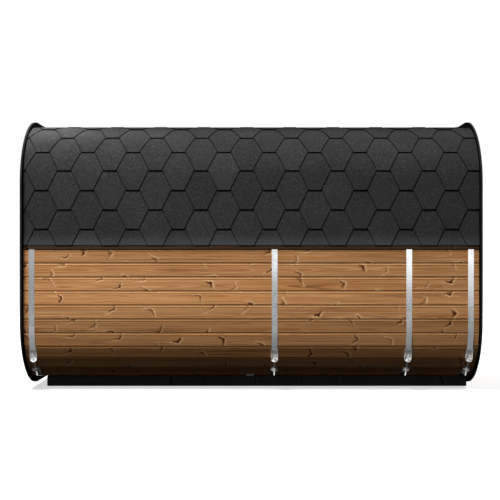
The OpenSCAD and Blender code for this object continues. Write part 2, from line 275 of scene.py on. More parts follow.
    # the edges, in painted light and shade: the chamfer is painted paler as a painted highlight,
    # and the fine V, the joint and the edge beside it are painted darker as painted shade
    rim = put(finish, "Attribute", attribute_name="rim").outputs["Fac"]
    base = mixed(finish, spread(finish, rim, -0.2, -0.8, 0.0, 0.18), base,
                 tinted(pale, 1.15, 1.15, 1.10))
    base = mixed(finish, spread(finish, rim, 0.05, 0.45, 0.0, 0.85), base,
                 tinted(light, 0.46, 0.32, 0.12))
    base = mixed(finish, spread(finish, rim, 0.55, 0.95), base, tinted(dark, 0.28, 0.15, 0.08))
    # each board has its own tone, a little uneven along it
    blotch = noise(finish, scaled(finish, board, 2.2, 9, 9), 1.0, 2, 0.5)
    level = calc(finish, "MULTIPLY_ADD", tone_value, 0.55, 0.62)
    level = calc(finish, "ADD", level, calc(finish, "MULTIPLY_ADD", blotch, 0.22, -0.03))
    grey = put(finish, "CombineColor", {"Red": level, "Green": level, "Blue": level}).outputs[0]
    base = mixed(finish, 1.0, base, grey, "MULTIPLY")
    height = calc(finish, "MULTIPLY_ADD", ring, -0.5, calc(finish, "MULTIPLY", fibre, 0.6))
    height = calc(finish, "MULTIPLY_ADD", heart, -0.4, height)
    roughness = spread(finish, fibre, 0.2, 0.8, 0.52, 0.72)
    return coat(finish, base, roughness, height, relief, Specular_IOR_Level=gloss)


black_wood = wood("black stained wood", colour(76, 75, 74), colour(67, 66, 65),
                  colour(58, 57, 56), colour(40, 39, 38), colour(25, 24, 23), gloss=0.08)


def placed(piece, finish, slot, *nodes):
    """Gives a piece its finish, and sets it on the frame in place of the nodes it stands for."""
    piece.data.materials.clear()
    piece.data.materials.append(finish)
    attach(piece, "root")
    if nodes:
        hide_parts(*nodes)


for side in ("near", "far"):
    low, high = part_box("base_beam_" + side)
    beam = timber("beam_" + side, low, high)
    ease(beam, 0.005, 3)
    crossings = [(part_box(name + "_lower_strap"), BAND_HOUSING) for name in STRAP_NAMES]
    crossings.append((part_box("beam_clip_" + side), CLIP_HOUSING))
    for (start, end), depth in crossings:
        cut_away(beam, timber("housing", (start.x - HOUSING_PLAY, low.y - 0.01, high.z - depth),
                              (end.x + HOUSING_PLAY, high.y + 0.01, high.z + 0.01)))
    grain(beam, (0, 1, 2))
    placed(beam, black_wood, "black_wood", "base_beam_" + side)

# Beam clips: steel plates let into the beams, bent up round the lowest staves and
# screwed to them, which stop the body from rolling or sliding.
CLIP_THICKNESS = 0.003
CLIP_SCREWS = [(share, angle) for share in (0.25, 0.75) for angle in (12, 18)]


def copy_of(node, name):
    """A loose copy of a node's shape, with its triangles merged into whole faces."""
    piece = bpy.data.objects.new(name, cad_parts[node].data.copy())
    bpy.context.scene.collection.objects.link(piece)
    work_on(piece, "EDIT")
    bpy.ops.mesh.customdata_custom_splitnormals_clear()
    bpy.ops.mesh.remove_doubles(threshold=0.00001)
    bpy.ops.mesh.dissolve_limited(angle_limit=math.radians(0.4))
    bpy.ops.object.mode_set(mode="OBJECT")
    return piece


def steel(name, tint, metal, roughness, lines, levels=()):
    """Brushed stainless steel. The brushing runs across the axis that has the close lines.
    The levels are heights, lowest first, each with how bright the steel is painted there, as
    painted light and shade."""
    finish = new_finish(name)
    place = put(finish, "TexCoord").outputs["Object"]
    brushing = noise(finish, scaled(finish, place, *lines), 1.0, 3, 0.7)
    cloud = noise(finish, place, 7, 3, 0.6)
    spots = noise(finish, place, 90, 2, 0.7)
    base = mixed(finish, spread(finish, brushing, 0.25, 0.75), tinted(tint, 0.86, 0.86, 0.86), tint)
    base = mixed(finish, spread(finish, cloud, 0.35, 0.7, 0.0, 0.35), base,
                 tinted(tint, 0.80, 0.80, 0.80))
    base = mixed(finish, spread(finish, spots, 0.66, 0.8, 0.0, 0.35), base, colour(120, 112, 104))
    if levels:
        # painted light and shade: the steel made brighter or darker by height
        painted_light_by_height = put(finish, "ValToRGB", {"Fac": put(finish, "SeparateXYZ", {0: place}).outputs["Z"]})
        for level, bright in levels:
            painted_light_by_height.color_ramp.elements.new(level).color = (bright, bright, bright, 1)
        for end in (0, -1):
            painted_light_by_height.color_ramp.elements.remove(painted_light_by_height.color_ramp.elements[end])
        base = mixed(finish, 1.0, base, painted_light_by_height.outputs[0], "MULTIPLY")
    rough = calc(finish, "ADD", spread(finish, brushing, 0.2, 0.8, -0.08, 0.10),
                 spread(finish, cloud, 0.3, 0.7, roughness - 0.03, roughness + 0.06))
    return coat(finish, base, rough, brushing, 0.00008, Metallic=metal, Anisotropic=0.4)


plate_steel = steel("stainless plate", colour(232, 232, 230), 0.30, 0.45, (900, 40, 40))


def screw(name, place, out, size=0.0045, rise=0.0018):
    """A pan-head screw with a cross recess, its head standing out in one direction."""
    bpy.ops.object.select_all(action="DESELECT")
    bpy.ops.mesh.primitive_cylinder_add(vertices=16, radius=size, depth=rise + 0.002,
                                        location=(0, 0, rise / 2 - 0.001))
    head = bpy.context.object
    head.name = name
    bpy.ops.object.transform_apply(location=True, rotation=True, scale=True)
    ease(head, rise * 0.55, 2, 60, 30)
    for along, across in ((size * 0.6, size * 0.13), (size * 0.13, size * 0.6)):
        cut_away(head, timber("slot", (-along, -across, rise * 0.35), (along, across, rise * 2)))
    tilt = Vector((0, 0, 1)).rotation_difference(Vector(out)).to_matrix().to_4x4()
    head.data.transform(Matrix.Translation(Vector(place)) @ tilt)
    return head


flat_low, flat_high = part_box("near_side_staves")
corner_low, corner_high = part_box("near_bottom_corner")
centre_z = (flat_low.z + flat_high.z) / 2
flat_half = (flat_high.z - flat_low.z) / 2
bend = corner_high.y - corner_low.y
for side, way in (("near", -1), ("far", 1)):
    clip = copy_of("beam_clip_" + side, "clip_" + side)
    ease(clip, 0.0008, 2)
    low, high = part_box("beam_clip_" + side)
    parts = [clip]
    for share, angle in CLIP_SCREWS:
        out = Vector((0, way * math.sin(math.radians(angle)), -math.cos(math.radians(angle))))
        spot = Vector((low.x + share * (high.x - low.x), way * flat_half,
                       centre_z - flat_half)) + out * (bend + CLIP_THICKNESS)
        parts.append(screw("clip screw", spot, out))
    clip = joined("clip_" + side, parts)
    placed(clip, plate_steel, "stainless_steel", "beam_clip_" + side)

# Staves: the body is a tube of long softwood boards on edge, heat treated to an even
# brown. Each has a chamfer and a fine V along its upper edge and a groove under the
# next one, and its sides are planed to the angle of the bend.
thermowood = wood("heat treated softwood", colour(212, 168, 120), colour(198, 148, 100),
                  colour(170, 121, 76), colour(112, 68, 36), colour(92, 47, 25), knots=0.68)

STAVE_THICKNESS = flat_high.y - flat_low.y
STAVE_PITCH, SIDE_STAVES, UPPER_STAVES = 0.12193, 17, 33
# along the section from the middle of a side: a quarter of the way round, and the joint
# that the staves are set out from, downwards on each side and upwards over the top
QUARTER = 2 * flat_half + bend * math.pi / 2
FIRST_JOINT = -0.0250
joints = [FIRST_JOINT + STAVE_PITCH * n for n in range(SIDE_STAVES + 1)]
upper_pitch = (2 * QUARTER + 2 * FIRST_JOINT) / UPPER_STAVES
stave_start, stave_end = flat_low.x, flat_high.x


def section_point(along, outwards):
    """A place on the section: how far down from the middle of the near side, and out."""
    side, rest = divmod(along + flat_half, QUARTER)
    if rest < 2 * flat_half:
        y, z = -flat_half - bend - outwards, flat_half - rest
    else:
        turn = (rest - 2 * flat_half) / bend
        y = -flat_half - (bend + outwards) * math.cos(turn)
        z = -flat_half - (bend + outwards) * math.sin(turn)
    for _ in range(int(side) % 4):
        y, z = -z, y
    return y, z


def outline_solid(name, outline, start, end):
    """A bar along the cabin with the given outline: each point is across it and into it."""
    bpy.ops.object.select_all(action="DESELECT")
    bpy.ops.mesh.primitive_circle_add(vertices=len(outline), fill_type="NGON")
    piece = bpy.context.object
    piece.name = name
    for vertex, (across, into) in zip(piece.data.vertices, outline):
        vertex.co = (start, across, into)
    work_on(piece, "EDIT")
    bpy.ops.mesh.extrude_region_move(TRANSFORM_OT_translate={"value": (end - start, 0, 0)})
    bpy.ops.object.mode_set(mode="OBJECT")
    return piece


def recalculated(piece):
    """Turns every face of a closed piece outwards."""
    work_on(piece, "EDIT")
    bpy.ops.mesh.normals_make_consistent(inside=False)
    bpy.ops.object.mode_set(mode="OBJECT")


def copied(piece, name):
    """A second piece with a mesh of its own."""
    twin = bpy.data.objects.new(name, piece.data.copy())
    bpy.context.scene.collection.objects.link(twin)
    return twin


# across the board and into it, in mm, with how the place is lit: 1 is the dark of a
# joint, 0.5 a fine cut, 0 the open face and -1 the chamfer, which catches the light
high_edge, back = STAVE_PITCH * 1000, STAVE_THICKNESS * 1000
stave_outline = [(0, 9, 1), (2.2, 9, 1), (4.0, 5.0, 1), (4.4, 3.1, -1), (17.0, 0.6, -1),
                 (17.6, 1.2, 0.5), (20.4, 4.4, 0.5), (23.2, 0.8, 0.5), (23.8, 0, 0),
                 (high_edge - 7, 0, 0), (high_edge, 3, 0.6), (high_edge, back - 1.5, 0),
                 (high_edge - 1.5, back, 0), (1.5, back, 0), (0, back - 1.5, 0)]
one_stave = outline_solid("stave", [(w / 1000, d / 1000) for w, d, _ in stave_outline],
                          stave_start, stave_end)
shaded = {(round(w, 1), round(d, 1)): shade for w, d, shade in stave_outline}
one_stave.data.attributes.new("rim", "FLOAT", "POINT")
one_stave.data.attributes["rim"].data.foreach_set("value", [
    shaded[round(v.co.y * 1000, 1), round(v.co.z * 1000, 1)] for v in one_stave.data.vertices])


def stave_between(upper, lower, mirrored, shade=None):
    """A copy of the stave, fitted between two joints of the section."""
    stave = copied(one_stave, "stave")
    grain(stave, (0, 1, 2), shade)
    corners = [section_point(s, -d) for d in (0, STAVE_THICKNESS) for s in (upper, lower)]
    width = abs(lower - upper)
    for vertex in stave.data.vertices:
        across, into = vertex.co.y, vertex.co.z / STAVE_THICKNESS
        if across > STAVE_PITCH / 2:
            across += width - STAVE_PITCH
        across = min(max(across / width, 0), 1)
        y, z = [(corners[0][i] * (1 - across) + corners[1][i] * across) * (1 - into)
                + (corners[2][i] * (1 - across) + corners[3][i] * across) * into
                for i in (0, 1)]
        vertex.co = (vertex.co.x, -y if mirrored else y, centre_z + z)
    return stave


panels = {"near_side_staves": [], "far_side_staves": [], "floor_staves": [],
          "ceiling_staves": [], "near_bottom_corner": [], "far_bottom_corner": [],
          "near_top_corner": [], "far_top_corner": []}


def panel_at(along, mirrored):
    """The name of the panel that the middle of a stave lies in."""
    near = "far" if mirrored else "near"
    reach = abs(along)
    level = "bottom" if along > 0 else "top"
    if reach < flat_half:
        return near + "_side_staves"
    if reach < QUARTER - flat_half:
        return f"{near}_{level}_corner"
    return "floor_staves" if along > 0 else "ceiling_staves"


# how light the near side's upper staves are, from the eave down; the rest are left to chance. The
# last, on the turn under the body, is made far darker as painted shade
near_tones_and_shade = [0.36, 0.53, 0.62, 0.82, 0.52, 0.07, 0.70, 0.68, 0.35, -0.45]
for mirrored in (False, True):
    for index, (upper, lower) in enumerate(zip(joints, joints[1:])):
        shade = near_tones_and_shade[index] if index < len(near_tones_and_shade) and not mirrored else None
        panels[panel_at((upper + lower) / 2, mirrored)].append(
            stave_between(upper, lower, mirrored, shade))
panels["floor_staves"].append(stave_between(joints[-1], 2 * QUARTER - joints[-1], False))
for index in range(UPPER_STAVES):
    start = FIRST_JOINT - index * upper_pitch
    middle = start - upper_pitch / 2
    mirrored = middle < -QUARTER
    if mirrored:
        upper, lower = -2 * QUARTER - start, -2 * QUARTER - start + upper_pitch
    else:
        upper, lower = start - upper_pitch, start
    panels[panel_at((upper + lower) / 2, mirrored)].append(stave_between(upper, lower, mirrored))
bpy.data.objects.remove(one_stave)
for node, staves in panels.items():
    panel = joined(node + "_boards", staves)
    recalculated(panel)
    placed(panel, thermowood, "thermowood", node)

# End walls: level boards of the same softwood, tongued together with a V at each
# joint and cut to the round of the body. The front one leaves room for the door.
WALL_BOARD, WALL_BOARDS, THINNEST_BOARD = 0.1215, 19, 0.004
wall_low, wall_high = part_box("front_wall_near")
lowest_joint = (wall_low.z + wall_high.z - WALL_BOARDS * WALL_BOARD) / 2


def sawn_level(node, name):
    """A wall made of level boards: copies of its node, each sawn to one board."""
    whole = copy_of(node, name)
    low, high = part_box(node)
    boards = []
    level = lowest_joint
    while level < high.z - THINNEST_BOARD:
        if level + WALL_BOARD > low.z + THINNEST_BOARD:
            piece = copied(whole, "board")
            work_on(piece, "EDIT")
            for cut, clear in ((level, "inner"), (level + WALL_BOARD, "outer")):
                bpy.ops.mesh.select_all(action="SELECT")
                bpy.ops.mesh.bisect(plane_co=(0, 0, cut), plane_no=(0, 0, 1), use_fill=True,
                                    clear_inner=clear == "inner", clear_outer=clear == "outer")
            bpy.ops.object.mode_set(mode="OBJECT")
            ease(piece, 0.0025, 2, 40)
            grain(piece, (1, 2, 0))
            boards.append(piece)
        level += WALL_BOARD
    bpy.data.objects.remove(whole)
    return joined(name, boards)


for node in ("rear_wall", "front_wall_near", "front_wall_far", "front_wall_over_door"):
    placed(sawn_level(node, node + "_boards"), thermowood, "thermowood", node)

# Door frame and threshold: planed members of the same softwood, the head housed
# between the jambs, with their edges eased.
frame_low, frame_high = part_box("door_frame")
leaf_low, leaf_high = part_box("door_leaf")
sill_low, sill_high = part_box("door_threshold")
jamb_y, head_z = sill_high.y, leaf_high.z + (leaf_low.y - sill_low.y)
members = []
for way in (-1, 1):
    jamb = timber("jamb", (frame_low.x, min(way * jamb_y, way * frame_high.y), frame_low.z),
                  (frame_high.x, max(way * jamb_y, way * frame_high.y), frame_high.z))
    ease(jamb, 0.003, 3)
    grain(jamb, (2, 1, 0))
    members.append(jamb)
head = timber("head", (frame_low.x, -jamb_y, head_z), (frame_high.x, jamb_y, frame_high.z))
ease(head, 0.002, 3)
grain(head, (1, 2, 0))
placed(joined("door_surround", members + [head]), thermowood, "thermowood", "door_frame")
sill = timber("sill", sill_low, sill_high)
ease(sill, 0.006, 4)
grain(sill, (1, 0, 2))
placed(sill, thermowood, "thermowood", "door_threshold")

# Door leaf: upright boards with a V at each joint, held in a frame of stiles and rails
# that stands a little proud of them on both faces.
STILE, RAIL, SET_BACK, UPRIGHTS = 0.095, 0.13, 0.006, 6
parts = []
for low_y, high_y in ((leaf_low.y, leaf_low.y + STILE), (leaf_high.y - STILE, leaf_high.y)):
    stile = timber("stile", (leaf_low.x, low_y, leaf_low.z), (leaf_high.x, high_y, leaf_high.z))
    ease(stile, 0.003, 3)
    grain(stile, (2, 1, 0))
    parts.append(stile)
middle_z = (leaf_low.z + leaf_high.z) / 2
for low_z, high_z in ((leaf_low.z, leaf_low.z + RAIL),
                      (middle_z - RAIL / 2, middle_z + RAIL / 2),
                      (leaf_high.z - RAIL, leaf_high.z)):
    rail = timber("rail", (leaf_low.x, leaf_low.y + STILE, low_z),
                  (leaf_high.x, leaf_high.y - STILE, high_z))
    ease(rail, 0.002, 3)
    grain(rail, (1, 2, 0))
    parts.append(rail)
width = (leaf_high.y - leaf_low.y - 2 * STILE) / UPRIGHTS
for low_z, high_z in ((leaf_low.z + RAIL, middle_z - RAIL / 2),
                      (middle_z + RAIL / 2, leaf_high.z - RAIL)):
    for index in range(UPRIGHTS):
        start = leaf_low.y + STILE + index * width
        upright = timber("upright", (leaf_low.x + SET_BACK, start, low_z - 0.001),
                         (leaf_high.x - SET_BACK, start + width, high_z + 0.001))
        ease(upright, 0.003, 2)
        grain(upright, (2, 1, 0))
        parts.append(upright)
placed(joined("door_boards", parts), thermowood, "thermowood", "door_leaf")

# Door handles and hinges: steel bars and butt hinges with a matt black powder coat,
# the hinge plates held with screws.
HINGE_HEIGHT, HINGE_PLATE = 0.090, 0.0029
HINGE_SCREW_RISES, HINGE_SCREW_SIDES = (0.018, 0.045, 0.072), (-0.021, 0.021)
powder_coat = new_finish("black powder coat")
place = put(powder_coat, "TexCoord").outputs["Object"]
stipple = noise(powder_coat, place, 1400, 2, 0.5)
worn = noise(powder_coat, place, 35, 3, 0.6)
base = mixed(powder_coat, spread(powder_coat, worn, 0.35, 0.75), colour(24, 24, 25),
             colour(34, 34, 34))
coat(powder_coat, base, spread(powder_coat, worn, 0.3, 0.7, 0.42, 0.56), stipple, 0.00012,
     Specular_IOR_Level=0.3)
handles = copy_of("door_handles", "pull_handles")
ease(handles, 0.003, 3, 35, 24)
placed(handles, powder_coat, "black_steel", "door_handles")
hinge = copy_of("door_hinges", "hinges")
ease(hinge, 0.0008, 2, 35, 24)
low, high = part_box("door_hinges")
parts = [hinge]
for foot in (low.z, (low.z + high.z) / 2 - HINGE_HEIGHT / 2, high.z - HINGE_HEIGHT):
    for rise in HINGE_SCREW_RISES:
        for beside in HINGE_SCREW_SIDES:
            spot = (frame_high.x + HINGE_PLATE, (low.y + high.y) / 2 + beside, foot + rise)
            parts.append(screw("hinge screw", spot, (1, 0, 0)))
placed(joined("hinges", parts), powder_coat, "black_steel", "door_hinges")

# End trims: eight lengths of board round each end of the body, painted black, with
# open joints between them and their edges eased.
black_paint = new_finish("black painted trim")
place = put(black_paint, "TexCoord").outputs["Object"]
brush_marks = noise(black_paint, scaled(black_paint, place, 60, 14, 14), 1.0, 4, 0.65)
worn = noise(black_paint, place, 5, 4, 0.6)
# the faces that look along the body are painted a deeper black than the outer edge, as painted
# shade
facing = put(black_paint, "SeparateXYZ", {0: put(black_paint, "TexCoord").outputs["Normal"]})
flank_shade = spread(black_paint, calc(black_paint, "ABSOLUTE", facing.outputs["X"]), 0.4, 0.8)
edge_paint = mixed(black_paint, spread(black_paint, worn, 0.3, 0.75), colour(34, 34, 34),
                   colour(44, 43, 42))
coat(black_paint, mixed(black_paint, flank_shade, edge_paint, colour(9, 9, 9)),
     spread(black_paint, worn, 0.3, 0.7, 0.58, 0.75), brush_marks, 0.0005,
     Specular_IOR_Level=0.0)
for node in ("rear_trim", "front_trim"):
    trim = copy_of(node, node + "_boards")
    ease(trim, 0.002, 3, 50)
    placed(trim, black_paint, "black_trim", node)

# Straps: four flat bands of brushed stainless steel, drawn tight round the staves. Each is a length
# over the body and a length under it, painted darker low on the side as painted shade.
band_steel = steel("stainless band", colour(191, 192, 193), 0.80, 0.17, (1200, 30, 30), [
    (flat_low.z - 0.145, 0.76), (flat_low.z - 0.075, 0.74), (flat_low.z, 0.87),
    (flat_low.z + 0.070, 1.0)])
for name in STRAP_NAMES:
    for half in ("_upper_strap", "_lower_strap"):
        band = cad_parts[name + half]
        band.data.materials.clear()
        band.data.materials.append(band_steel)

# Tensioners: at each strap, two pressed steel lugs face each other low on the side. A
# threaded rod joins their lips, with a flanged nut outside each and a lock nut below.
ROD_PITCH, ROD_RADIUS, ROOT_SHARE = 0.002, 0.007, 0.84
UPPER_LIP_SHARE, LOWER_LIP_SHARE = 0.645, 0.25
lug_low, lug_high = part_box("strap_lugs_near")
upper_lip = lug_low.z + UPPER_LIP_SHARE * (lug_high.z - lug_low.z)
lower_lip = lug_low.z + LOWER_LIP_SHARE * (lug_high.z - lug_low.z)
nut_steel = steel("stainless nut", colour(236, 235, 232), 0.5, 0.30, (300, 300, 300))
# painted light and shade by height: a painted highlight on the round of the upper lip and at the
# rod's ends, painted shade on the plate, the lower lug and the rod between the lips
lug_steel = steel("stainless pressing", colour(218, 217, 214), 0.35, 0.48, (700, 120, 120), [
    (lower_lip, 0.34), (upper_lip - 0.045, 0.34), (upper_lip - 0.035, 0.6), (upper_lip, 0.6),
    (upper_lip + 0.002, 1.3), (upper_lip + 0.030, 1.1), (upper_lip + 0.055, 0.55)])
rod_steel = steel("stainless rod", colour(190, 189, 187), 0.8, 0.34, (300, 300, 300), [
    (lower_lip - 0.030, 1.6), (lower_lip - 0.020, 0.12), (upper_lip - 0.035, 0.12),
    (upper_lip - 0.010, 1.0)])
for side, way in (("near", -1), ("far", 1)):
    lugs = copy_of("strap_lugs_" + side, side + "_lugs")
    ease(lugs, 0.0007, 2, 40, 24)
    placed(lugs, lug_steel, "stainless_steel", "strap_lugs_" + side)
    nuts = copy_of("tension_nuts_" + side, side + "_nuts")
    ease(nuts, 0.0009, 2, 40, 24)
    placed(nuts, nut_steel, "stainless_steel", "tension_nuts_" + side)
    # the rods lie along the tangent of the bend: their lean follows from their box
    low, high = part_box("tension_rods_" + side)
    lean = math.radians(45)
    for _ in range(6):
        lean = math.atan2(high.y - low.y - 2 * ROD_RADIUS * math.cos(lean),
                          high.z - low.z - 2 * ROD_RADIUS * math.sin(lean))
    length = (high.z - low.z - 2 * ROD_RADIUS * math.sin(lean)) / math.cos(lean)
    # the thread: one V, from root to crest to root, wound up the rod
    bpy.ops.object.select_all(action="DESELECT")
    bpy.ops.mesh.primitive_circle_add(vertices=3)
    thread = bpy.context.object
    root = ROD_RADIUS * ROOT_SHARE
    for vertex, place in zip(thread.data.vertices, (
            (root, 0, 0), (ROD_RADIUS, 0, ROD_PITCH / 2), (root, 0, ROD_PITCH))):
        vertex.co = place
    work_on(thread, "EDIT")
    bpy.ops.mesh.select_all(action="DESELECT")
    bpy.ops.mesh.select_mode(type="EDGE")
    shape = bmesh.from_edit_mesh(thread.data)
    for edge in shape.edges:
        edge.select_set(all(v.co.x < ROD_RADIUS * 0.9 for v in edge.verts))
    bpy.ops.mesh.delete(type="EDGE_FACE")
    bpy.ops.object.mode_set(mode="OBJECT")
    turns = int(length / ROD_PITCH) - 1
    wind = thread.modifiers.new("wind", "SCREW")
    wind.screw_offset, wind.iterations = ROD_PITCH, turns
    wind.steps = wind.render_steps = 12
    bpy.ops.object.modifier_apply(modifier="wind")
    work_on(thread, "EDIT")
    bpy.ops.mesh.remove_doubles(threshold=0.00001)
    bpy.ops.mesh.fill_holes(sides=0)
    bpy.ops.mesh.select_all(action="SELECT")
    bpy.ops.mesh.normals_make_consistent(inside=False)
    bpy.ops.object.mode_set(mode="OBJECT")
    rods = []
    for name in STRAP_NAMES:
        strap_low, strap_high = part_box(name + "_upper_strap")
        middle = Vector(((strap_low.x + strap_high.x) / 2, (low.y + high.y) / 2,
                         (low.z + high.z) / 2))
        rod = copied(thread, "rod")
        rod.data.transform(Matrix.Translation(middle) @ Matrix.Rotation(-way * lean, 4, "X")
                           @ Matrix.Translation((0, 0, -(turns + 1) * ROD_PITCH / 2)))
        rods.append(rod)
    bpy.data.objects.remove(thread)
    rods = joined(side + "_rods", rods)
    work_on(rods)
    bpy.ops.object.shade_smooth_by_angle(angle=math.radians(35))
    placed(rods, rod_steel, "stainless_steel", "tension_rods_" + side)

# Eave strips: a thin dark brown batten along each side, planed and eased, under the lower edge of
# the shingles.
brown_wood = wood("dark brown stained wood", colour(78, 58, 42), colour(70, 50, 34),
                  colour(56, 39, 26), colour(36, 25, 17), colour(24, 16, 11), knots=0.25)
for side in ("near", "far"):
    low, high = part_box("eave_strip_" + side)
    strip = timber("eave_batten", low, high)
    ease(strip, 0.0015, 3)
    grain(strip, (0, 2, 1))
    placed(strip, brown_wood, "dark_brown_wood", "eave_strip_" + side)

# Roofing: bitumen shingles with a mineral face, nailed in courses from the eave up.
# Each course shows a row of six-sided tabs, set half a tab along from the one below.
TAB_PITCH, TAB_WIDTH, TAB_FOOT, RIM = 0.3965, 0.280, 0.110, 0.007
EXPOSURE, TAB_REACH, TAB_THICKNESS, LIFT, LIFT_RUN = 0.169, 0.350, 0.0045, 0.0096, 0.36
FIRST_TAB_X, FIRST_FOOT, COVERING, KICK, KICK_RUN = -1.8256, 0.198, 0.006, 0.004, 0.045
# courses and tabs are set out from the first whole ones, with some to spare each way
SET_OUT = range(-2, 12)
roof_low, roof_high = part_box("roofing_near")
half_length = stave_end
eave = roof_low.z - centre_z
roof_base = -roof_low.y - (flat_half + bend) - COVERING

# up the tab, and how wide it is there: 0 leaves its side straight from the foot
rows = [(0, TAB_FOOT), (EXPOSURE * 0.33, 0), (EXPOSURE * 0.67, 0), (EXPOSURE, TAB_WIDTH),
        (EXPOSURE + 0.006, TAB_PITCH), (0.222, TAB_PITCH), (0.265, TAB_PITCH),
        (0.308, TAB_PITCH), (TAB_REACH, TAB_PITCH)]
bpy.ops.object.select_all(action="DESELECT")
bpy.ops.mesh.primitive_grid_add(x_subdivisions=1, y_subdivisions=len(rows) - 1, size=1)
tab = bpy.context.object
ordered = sorted(tab.data.vertices, key=lambda v: (round(v.co.y, 4), v.co.x))
for index, (rise, width) in enumerate(rows):
    if width == 0:
        width = TAB_FOOT + (TAB_WIDTH - TAB_FOOT) * rise / EXPOSURE
    for vertex, way in zip(ordered[2 * index:2 * index + 2], (-1, 1)):
        vertex.co = (way * width / 2, rise, LIFT * (1 - rise / LIFT_RUN))
# a narrow rim, painted black: the black bitumen at the cut edge, and painted shadow along the tab's
# edges
work_on(tab, "EDIT")
bpy.ops.mesh.inset(thickness=RIM, use_boundary=True)
bpy.ops.object.mode_set(mode="OBJECT")
shape = bmesh.new()
shape.from_mesh(tab.data)
cut_edge_and_shadow = [float(vertex.is_boundary) for vertex in shape.verts]
shape.free()
tab.data.attributes.new("rim", "FLOAT", "POINT")
tab.data.attributes["rim"].data.foreach_set("value", cut_edge_and_shadow)
work_on(tab, "EDIT")
bpy.ops.mesh.extrude_region_move(TRANSFORM_OT_translate={"value": (0, 0, -TAB_THICKNESS)})
bpy.ops.mesh.select_all(action="SELECT")
bpy.ops.mesh.normals_make_consistent(inside=False)
bpy.ops.object.mode_set(mode="OBJECT")
for vertex in tab.data.vertices:
    vertex.co.z = max(vertex.co.z, 0.0)
ease(tab, 0.0007, 1, 60)


def trimmed(piece, cuts):
    """Cuts a flat shingle straight along one or more edges: a place and a way to clear."""
    work_on(piece, "EDIT")
    for place, way in cuts:
        bpy.ops.mesh.select_all(action="SELECT")
        bpy.ops.mesh.bisect(plane_co=place, plane_no=way, use_fill=True, clear_outer=True)
    bpy.ops.object.mode_set(mode="OBJECT")


shingle = new_finish("mineral faced shingle")
place = put(shingle, "TexCoord").outputs["Object"]
tab_tone = put(shingle, "Attribute", attribute_name="tone").outputs["Fac"]
granules = put(shingle, "TexVoronoi", {"Vector": place, "Scale": 620})
speck = put(shingle, "SeparateColor", {"Color": granules.outputs["Color"]}).outputs["Red"]
coarse = noise(shingle, place, 130, 3, 0.7)
weather = noise(shingle, place, 3.2, 4, 0.6)
patch = noise(shingle, place, 60, 3, 0.7)
base = mixed(shingle, spread(shingle, speck, 0.1, 0.9), colour(35, 35, 35), colour(58, 57, 56))
base = mixed(shingle, spread(shingle, coarse, 0.35, 0.7, 0.0, 0.5), base, colour(36, 36, 36))
base = mixed(shingle, spread(shingle, patch, 0.40, 0.66, 0.0, 0.5), base, colour(34, 34, 35))
base = mixed(shingle, spread(shingle, patch, 0.46, 0.30, 0.0, 0.5), base, colour(66, 66, 66))
# lighter and bluer just above the eave, and the top of the round is painted darker as painted shade
height = put(shingle, "SeparateXYZ", {0: place}).outputs["Z"]
bluer_above_eave = spread(shingle, height, roof_low.z + 0.110, roof_low.z + 0.020, 0.0, 0.19)
base = mixed(shingle, bluer_above_eave, base, colour(84, 88, 92))
top_painted_shade = spread(shingle, height, roof_high.z - 0.100, roof_high.z - 0.010, 1.0, 0.55)
level = calc(shingle, "MULTIPLY_ADD", tab_tone, 0.24, 1.01)
level = calc(shingle, "ADD", level, calc(shingle, "MULTIPLY_ADD", weather, 0.5, -0.20))
level = calc(shingle, "MULTIPLY", level, top_painted_shade)
grey = put(shingle, "CombineColor", {"Red": level, "Green": level, "Blue": level}).outputs[0]
base = mixed(shingle, 1.0, base, grey, "MULTIPLY")
# the rim painted black: bitumen at the cut edge and painted shadow along the tab's edges
rim = put(shingle, "Attribute", attribute_name="rim").outputs["Fac"]
rim = calc(shingle, "ADD", rim, calc(shingle, "MULTIPLY_ADD", coarse, 0.3, -0.15))
base = mixed(shingle, spread(shingle, rim, 0.15, 0.5), base, colour(6, 6, 6))
bits = calc(shingle, "MULTIPLY_ADD", granules.outputs["Distance"], -1.0, 1.0)
coat(shingle, base, spread(shingle, coarse, 0.3, 0.7, 0.90, 1.0), bits, 0.0009,
     Specular_IOR_Level=0.0)


def toned(piece):
    """Gives a shingle a tone of its own."""
    tone = random.random()
    piece.data.attributes.new("tone", "FLOAT", "POINT").data.foreach_set(
        "value", [tone] * len(piece.data.vertices))


def laid(piece, mirrored):
    """Lays a flat shingle on the roof: along it, and up the section from the middle.
    It kicks out a little at the eave, over the batten."""
    for vertex in piece.data.vertices:
        x, up, out = vertex.co
        out += KICK * max(0, 1 - (up - eave) / KICK_RUN) ** 2
        y, z = section_point(-up, roof_base + out)
        vertex.co = (x, -y if mirrored else y, centre_z + z)


roofs = {"roofing_near": [], "roofing_far": [], "roofing_top": []}
for mirrored in (False, True):
    for course in SET_OUT:
        foot = FIRST_FOOT + course * EXPOSURE
        for index in SET_OUT:
            x = FIRST_TAB_X + (index + (course % 2) / 2) * TAB_PITCH
            if abs(x) > half_length + TAB_PITCH / 2 - 0.01 or foot > QUARTER:
                continue
            piece = copied(tab, "tab")
            piece.data.transform(Matrix.Translation((x, foot, 0)))
            cuts = []
            if foot < eave:
                cuts.append(((0, eave, 0), (0, -1, 0)))
            if foot + TAB_REACH > QUARTER:
                cuts.append(((0, QUARTER, 0), (0, 1, 0)))
            if x + TAB_PITCH / 2 > half_length:
                cuts.append(((half_length, 0, 0), (1, 0, 0)))
            if x - TAB_PITCH / 2 < -half_length:
                cuts.append(((-half_length, 0, 0), (-1, 0, 0)))
            if cuts:
                trimmed(piece, cuts)
            if not piece.data.vertices:
                bpy.data.objects.remove(piece)
                continue
            toned(piece)
            laid(piece, mirrored)
            node = "roofing_far" if mirrored else "roofing_near"
            if foot + EXPOSURE / 2 > QUARTER - flat_half:
                node = "roofing_top"
            roofs[node].append(piece)
bpy.data.objects.remove(tab)

